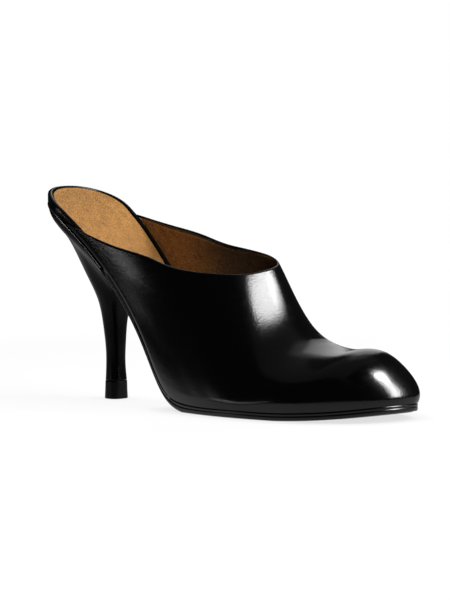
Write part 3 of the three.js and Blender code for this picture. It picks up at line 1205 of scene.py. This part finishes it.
@dataclass
class Outsole:
    """The leather outsole from the heel breast to the toe, with a grooved edge."""

    last: Last
    wardrobe: Wardrobe
    breast_x: float
    gap: float = 0.3
    corner: float = 1.2
    edge_inset: float = 0.8
    shank_inset: float = 0.15
    shank_to: float = 40
    fore_from: float = 72
    # painted highlight line: the band of the edge's height that it covers, and how far forward it runs
    pale: tuple[float, float] = (0.79, 0.93)
    highlight_to: float = 66
    stations: int = 230

    def underside(self, x: Array) -> Array:
        """Height of the underside, flat on the floor under the ball."""
        free = self.last.feather(x) - self.gap - self.last.section["sole"](x)
        return np.maximum(free, 0)

    def top(self, x: Array) -> Array:
        """Height of the sole's top."""
        return self.last.feather(x) - UNDER_FEATHER

    def painted_highlight_faces(self, middle: Array) -> Array:
        """Whether a face lies on the edge's upper corner, as far as the ball, where a highlight line is
        painted.

        Args:
            middle: Middles of the faces.

        Returns:
            Whether each face carries the painted highlight.
        """
        x, z = middle[:, 0], middle[:, 2]
        share = (z - self.underside(x)) / (self.top(x) - self.underside(x))
        return (share > self.pale[0]) & (share < self.pale[1]) & (x < self.highlight_to)

    def build(self) -> None:
        """Builds the sole: a flat underside, a rounded edge with a fine groove, and a top."""
        ring = self.last.ring(self.breast_x, self.last.toe_tip, self.stations, corner=self.corner)
        low = self.underside(ring[:, 0])
        tall = self.top(ring[:, 0]) - low
        fore = smooth_step(ring[:, 0], self.shank_to, self.fore_from)
        base = mix(self.shank_inset, self.edge_inset, fore)
        insets, heights = [], []
        for inset, share, shank_inset, shank_share in SOLE_EDGE.rows:
            insets.append(base + mix(shank_inset, inset, fore))
            heights.append(low + tall * mix(shank_share, share, fore))
        rows = plate_rows(ring, insets, heights)
        sole = make_body(
            "sole_leather", rows, lambda x, _: self.underside(x), lambda x, _: self.top(x), steps=(8, 6)
        )
        self.wardrobe.dress(sole, SOLE_EDGE_BLACK, "sole_leather", "outsole")
        # a pale line painted along the edge's upper corner as a highlight
        self.wardrobe.trim(sole, EDGE_HIGHLIGHT_PAINT, self.painted_highlight_faces)


# ---- Heel


STEM_FRONT = 0.84  # how far the stem's breast lies ahead of its middle, over its half width
STEM_EASE = 0.2  # where its sides begin to turn to the breast
STEM_POWER = 2.6

# The top piece from the floor up: half width, and height as a share of its own plus a rise.
TOP_PIECE = Table(
    ("half", "share", "rise"),
    (
        (5.15, 0, 0),
        (5.45, 0, 0.08),
        (5.60, 0, 0.35),
        (5.56, 0, 1.2),
        (5.42, 0.5, 0),
        (5.32, 1, -0.9),
        (5.30, 1, -0.25),
        (5.15, 1, 0),
    ),
)


def stem_ring(half: Array, count: int) -> Array:
    """Section of the stem: a half circle at the back and a nearly flat breast.

    Args:
        half: Half width of the stem.
        count: Steps on each side.

    Returns:
        Ring of 2 * count points, the outer side forward and the inner side back.
    """
    x = gathered_places(-1, STEM_FRONT, count)
    y = closing(-x, 0, 1, 2) * closing(x, STEM_EASE, STEM_FRONT, STEM_POWER)
    return closed_ring(x, -y, y) * half


def flat(height: float) -> Lift:
    """Lift that gives the same height everywhere, for a flat end."""
    return lambda x, _: np.full(len(x), height)


@dataclass
class Heel:
    """The tall wrapped heel and the top piece that it stands on."""

    last: Last
    wardrobe: Wardrobe
    breast_x: float
    foot: float
    gap: float = 0.3
    corner: float = 2.5
    lip: float = 1.7
    lip_out: float = 0.15
    lip_under: float = 1.6
    lip_steps: int = 13
    # painted highlight line: the band below the heel's top that it covers, and how far behind the breast it
    # stops
    pale: tuple[float, float] = (0.14, 0.50)
    highlight_behind: float = 2
    breast_power: float = 3
    row_easing: float = 1.15
    stations: int = 110
    rows: int = 150

    def __post_init__(self) -> None:
        """Makes a curve of each column of the heel's table."""
        self.line = {name: HEEL.curve(name) for name in HEEL.columns[1:]}

    def head(self, x: Array) -> Array:
        """Height of the heel's top."""
        return self.last.feather(x) - UNDER_FEATHER

    def painted_highlight_faces(self, middle: Array) -> Array:
        """Whether a face lies on the lip's upper corner, behind the breast, where a highlight line is
        painted.

        Args:
            middle: Middles of the faces.

        Returns:
            Whether each face carries the painted highlight.
        """
        below = self.head(middle[:, 0]) - middle[:, 2]
        behind = middle[:, 0] < self.breast_x - self.highlight_behind
        return (below > self.pale[0]) & (below < self.pale[1]) & behind

    def build(self) -> None:
        """Builds the wrapped heel and its top piece.

        Each line runs from a point of the seat's outline to the stem: in plan it is the
        stem's point plus the table's share of the way to the seat's point, and its height
        falls evenly from the feather line to the foot. A lip with a half round section
        runs round the seat above it.
        """
        last = self.last
        seat = last.ring(last.seat_back, self.breast_x, self.stations, corner=self.corner)
        head = self.head(seat[:, 0])
        forward = (seat[:, 0] - last.seat_back) / (self.breast_x - last.seat_back)
        to_breast = np.clip(forward, 0, 1) ** self.breast_power
        grid = []
        for drop in np.linspace(0, 1, self.rows) ** self.row_easing:
            stem = stem_ring(self.line["stem"](drop), self.stations)
            share = mix(self.line["back"](drop), self.line["breast"](drop), to_breast)
            plan = mix(stem, inset_ring(seat, self.gap), share[:, None])
            height = head - self.lip + (self.foot - head + self.lip) * drop
            grid.append(np.column_stack([plan, height]))
        turn = np.linspace(0, np.pi, self.lip_steps)
        radius = self.lip / 2
        insets = [self.lip_under, *(radius - self.lip_out - radius * np.sin(turn))]
        heights = [head, *(head[None] - radius * (1 - np.cos(turn))[:, None])]
        lip = plate_rows(seat, insets, heights)
        rows = np.concatenate([lip, grid])
        heel = make_body("heel_wrap", rows, lambda x, _: self.head(x), flat(self.foot), steps=(5, 5))
        self.wardrobe.dress(heel, HEEL_BLACK, "heel_leather", "heel")
        # a pale line painted along the lip's upper corner as a highlight
        self.wardrobe.trim(heel, EDGE_HIGHLIGHT_PAINT, self.painted_highlight_faces)
        self.build_top_piece(self.foot - self.gap)

    def build_top_piece(self, high: float) -> None:
        """Builds the top piece: it widens a little toward the floor and has eased edges.

        Args:
            high: Its height.
        """
        rows = [
            np.column_stack([stem_ring(half, self.stations), np.full(2 * self.stations, share * high + rise)])
            for half, share, rise in TOP_PIECE.rows
        ]
        piece = make_body("top_piece_rubber", rows, flat(0), flat(high), steps=(5, 5))
        self.wardrobe.dress(piece, TOP_PIECE_BLACK, "top_piece_rubber", "top_piece")


# ---- Studio


def direction(azimuth: float, elevation: float) -> Vector:
    """Unit vector from the shoe toward a place given by azimuth and elevation in degrees."""
    a, e = math.radians(azimuth), math.radians(elevation)
    return Vector((math.sin(a) * math.cos(e), -math.cos(a) * math.cos(e), math.sin(e)))


def facing(azimuth: float, elevation: float, roll: float) -> Quaternion:
    """Turn that points a thing's back at a direction and rolls it, in degrees."""
    upright = direction(azimuth, elevation).to_track_quat("Z", "Y")
    return upright @ Quaternion((0, 0, 1), math.radians(roll))


@dataclass(frozen=True)
class Softbox:
    """A soft light: where it stands, its size, its radiance and how it is rolled.

    Angles are in degrees and sizes in metres.
    """

    name: str
    azimuth: float
    elevation: float
    distance: float
    width: float
    height: float
    radiance: float
    roll: float = 0

    def build(self, target: Vector) -> Object:
        """Makes the light, turned toward the shoe and not seen by the camera.

        Args:
            target: Point that it looks at.

        Returns:
            The light object.
        """
        light = bpy.data.lights.new(self.name, "AREA")
        light.shape = "RECTANGLE"
        light.size = self.width
        light.size_y = self.height
        light.energy = self.radiance * math.pi * self.width * self.height
        lamp = bpy.data.objects.new(self.name, light)
        bpy.context.scene.collection.objects.link(lamp)
        lamp.location = target + direction(self.azimuth, self.elevation) * self.distance
        lamp.rotation_euler = facing(self.azimuth, self.elevation, self.roll).to_euler()
        lamp.visible_camera = False
        return lamp


@dataclass(frozen=True)
class Flag:
    """A small black card between the high softbox and the toe, in metres and degrees."""

    name: str
    across: tuple[float, float]
    along: tuple[float, float]
    toe: tuple[float, float, float] = (0.172, -0.008, 0.022)
    azimuth: float = 128.5
    elevation: float = 60.6
    distance: float = 0.15
    roll: float = -27

    def build(self) -> None:
        """Makes the card, square to its line from the toe and not seen by the camera."""
        turn = facing(self.azimuth, self.elevation, self.roll)
        centre = Vector(self.toe) + direction(self.azimuth, self.elevation) * self.distance
        corners = [centre + turn @ Vector((x, y, 0)) for y in self.along for x in self.across]
        grid = np.array([tuple(corner) for corner in corners]).reshape(2, 2, 3) / MM
        card = make_sheet(self.name, grid, wrap=False)
        material, _ = matt_material(self.name + "_black", grey=0.01, roughness=1.0)
        card.data.materials.append(material)
        card.visible_camera = False


@dataclass
class Studio:
    """Camera, lights, pale floor and surroundings, in metres and degrees."""

    azimuth: float = 41.7
    distance: float = 1.762
    camera_high: float = 0.1633
    sideways: float = 0.0771
    lens: float = 172.0
    framing: float = 1.24
    sensor: float = 36
    floor_radius: float = 1.6
    floor_rings: tuple[float, ...] = (0.0, 0.2, 0.5, 1.0)
    floor_steps: int = 96
    floor_grey: float = 0.08
    floor_roughness: float = 0.9
    glow_strength: float = 0.94
    glow_whole: tuple[float, float] = (0.20, 0.50)
    glow_mirrored: float = 0.45
    glow_fading: tuple[float, float] = (0.18, 0.46)
    glow_behind: float = 0.16
    contact_reach: float = 0.014
    contact_dark: float = 0.76
    contact_samples: int = 8
    world_dim: float = 0.02
    softboxes: tuple[Softbox, ...] = (
        Softbox("high_softbox", 112.8, 49.7, 0.50, 0.493, 0.097, 22.0, roll=-27.7),
        Softbox("low_softbox", 121.8, 24.4, 0.50, 0.096, 0.386, 22.0, roll=-11),
        Softbox("back_card", 215.5, 25, 2.1, 0.60, 1.55, 0.70, roll=17),
        Softbox("back_card_tall", 214, 34, 2.2, 0.70, 2.30, 0.18, roll=10),
        Softbox("upper_strip", 320.6, 2.9, 1.5, 0.33, 0.022, 10.0),
        Softbox("lower_strip", 308, -1.8, 1.04, 0.26, 0.026, 1.2),
        Softbox("ceiling_card", 180, 80, 2.0, 3.0, 2.4, 0.06),
    )
    fill: Softbox = Softbox("inside_fill", 60, 20, 0.9, 0.20, 0.20, 26.0)
    flags: tuple[Flag, ...] = (
        Flag("flag_left", across=(-0.105, 0.013), along=(-0.030, 0.036)),
        Flag("flag_middle", across=(0.013, 0.050), along=(-0.001, 0.036)),
        Flag("flag_right", across=(0.050, 0.090), along=(-0.043, 0.036)),
    )

    def build(self) -> None:
        """Builds everything around the shoe."""
        low, high = (Vector(corner) for corner in CAD_BOX)
        middle = (low + high) / 2
        self.build_camera(middle)
        for softbox in self.softboxes:
            softbox.build(middle)
        for flag in self.flags:
            flag.build()
        self.build_fill(middle)
        self.build_floor(middle)
        self.build_world()
        bpy.context.scene.view_settings.view_transform = "Standard"

    def build_fill(self, middle: Vector) -> None:
        """Makes the snooted light that reaches the tan leather only.

        Args:
            middle: Middle of the shoe.
        """
        tan = bpy.data.collections.new("tan_leather")
        for name in ("upper_lining", "sock_pad"):
            tan.objects.link(bpy.data.objects[name])
        self.fill.build(middle).light_linking.receiver_collection = tan

    def build_camera(self, middle: Vector) -> None:
        """Makes the camera: it stands low, by the toe's outer side, and looks at the middle.

        Args:
            middle: Middle of the shoe.
        """
        away = direction(self.azimuth, 0)
        right = direction(self.azimuth + 90, 0)
        camera = bpy.data.cameras.new("camera")
        camera.lens = self.lens * self.framing
        camera.sensor_width = self.sensor
        camera.clip_start = 0.05
        rig = bpy.data.objects.new("camera", camera)
        bpy.context.scene.collection.objects.link(rig)
        rig.location = away * self.distance + right * self.sideways + Vector((0, 0, self.camera_high))
        rig.rotation_euler = (rig.location - middle).to_track_quat("Z", "Y").to_euler()
        bpy.context.scene.camera = rig

    def build_floor(self, middle: Vector) -> None:
        """Makes a round white floor whose glow in reflections fades away from the shoe.

        Its own glow keeps shadows faint, and a contact shade darkens it next to the shoe.
        Seen in the shoe, the glow falls smoothly from full to nothing between two radii
        about a point behind the shoe.

        Args:
            middle: Middle of the shoe.
        """
        angle = np.linspace(0, 2 * np.pi, self.floor_steps + 1)[:-1]
        radii = np.array(self.floor_rings)[:, None] * self.floor_radius / MM
        x = middle.x / MM + radii * np.cos(angle)
        y = middle.y / MM + radii * np.sin(angle)
        floor = make_sheet("floor", np.stack([x, y, np.zeros_like(x)], -1))
        if floor.data.polygons[0].normal.z < 0:
            floor.data.flip_normals()
        material, shader = matt_material("white_floor", self.floor_grey, self.floor_roughness)
        self.light_floor(material.node_tree, shader, middle)
        floor.data.materials.append(material)

    def light_floor(self, tree: NodeTree, shader: Node, middle: Vector) -> None:
        """Gives the floor's glow its strength.

        Args:
            tree: The floor's node tree.
            shader: Its Principled BSDF node.
            middle: Middle of the shoe.
        """
        glow = middle - direction(self.azimuth, 0) * self.glow_behind
        place = add_node(tree, "ShaderNodeTexCoord").outputs["Object"]
        shift = add_node(tree, "ShaderNodeVectorMath", place, (glow.x, glow.y, 0), operation="SUBTRACT")
        length = add_node(tree, "ShaderNodeVectorMath", shift.outputs["Vector"], operation="LENGTH")
        away = length.outputs["Value"]
        near = add_node(
            tree, "ShaderNodeAmbientOcclusion", samples=self.contact_samples, Distance=self.contact_reach
        )
        contact = add_node(
            tree, "ShaderNodeMapRange", near.outputs["AO"], To_Min=self.contact_dark, To_Max=1.0
        )
        plain = eased(tree, away, self.glow_whole, self.glow_strength, 1.0)
        seen = add_node(
            tree,
            "ShaderNodeMix",
            data_type="FLOAT",
            Factor=add_node(tree, "ShaderNodeLightPath").outputs["Is Camera Ray"],
            A=eased(tree, away, self.glow_fading, self.glow_mirrored, 0.0),
            B=calculate(tree, "MULTIPLY", plain, contact.outputs["Result"]),
        )
        feed(tree, shader, {"Emission Color": WHITE, "Emission Strength": seen.outputs["Result"]})

    def build_world(self) -> None:
        """Makes surroundings that look white and light the shoe as a dim studio does."""
        world = bpy.data.worlds.new("studio")
        world.use_nodes = True
        bpy.context.scene.world = world
        tree = world.node_tree
        bright = tree.nodes["Background"]
        feed(tree, bright, {"Color": WHITE, "Strength": 1.0})
        dim = add_node(tree, "ShaderNodeBackground", Color=WHITE, Strength=self.world_dim)
        seen = add_node(tree, "ShaderNodeLightPath").outputs["Is Camera Ray"]
        both = dim.outputs["Background"], bright.outputs["Background"]
        blend = add_node(tree, "ShaderNodeMixShader", seen, *both)
        feed(tree, tree.nodes["World Output"], {"Surface": blend.outputs["Shader"]})


# ---- Making


def main() -> None:
    """Builds the shoe's sub-assemblies in order, then the studio."""
    logging.basicConfig(level=logging.INFO, format="%(name)s %(message)s")
    low, high = (np.array(corner) / MM for corner in CAD_BOX)
    sole_low, _ = box_mm("outsole")
    heel_low, _ = box_mm("heel")
    last = Last(seat_back=low[0], toe_tip=high[0])
    wardrobe = Wardrobe()
    upper = Upper(last, wardrobe)
    sole = Outsole(last, wardrobe, breast_x=sole_low[0])
    upper.build()
    Footbed(last, upper, wardrobe).build()
    sole.build()
    Heel(last, wardrobe, breast_x=sole.breast_x - sole.gap, foot=heel_low[2]).build()
    Studio().build()


if __name__ == "__main__":
    main()
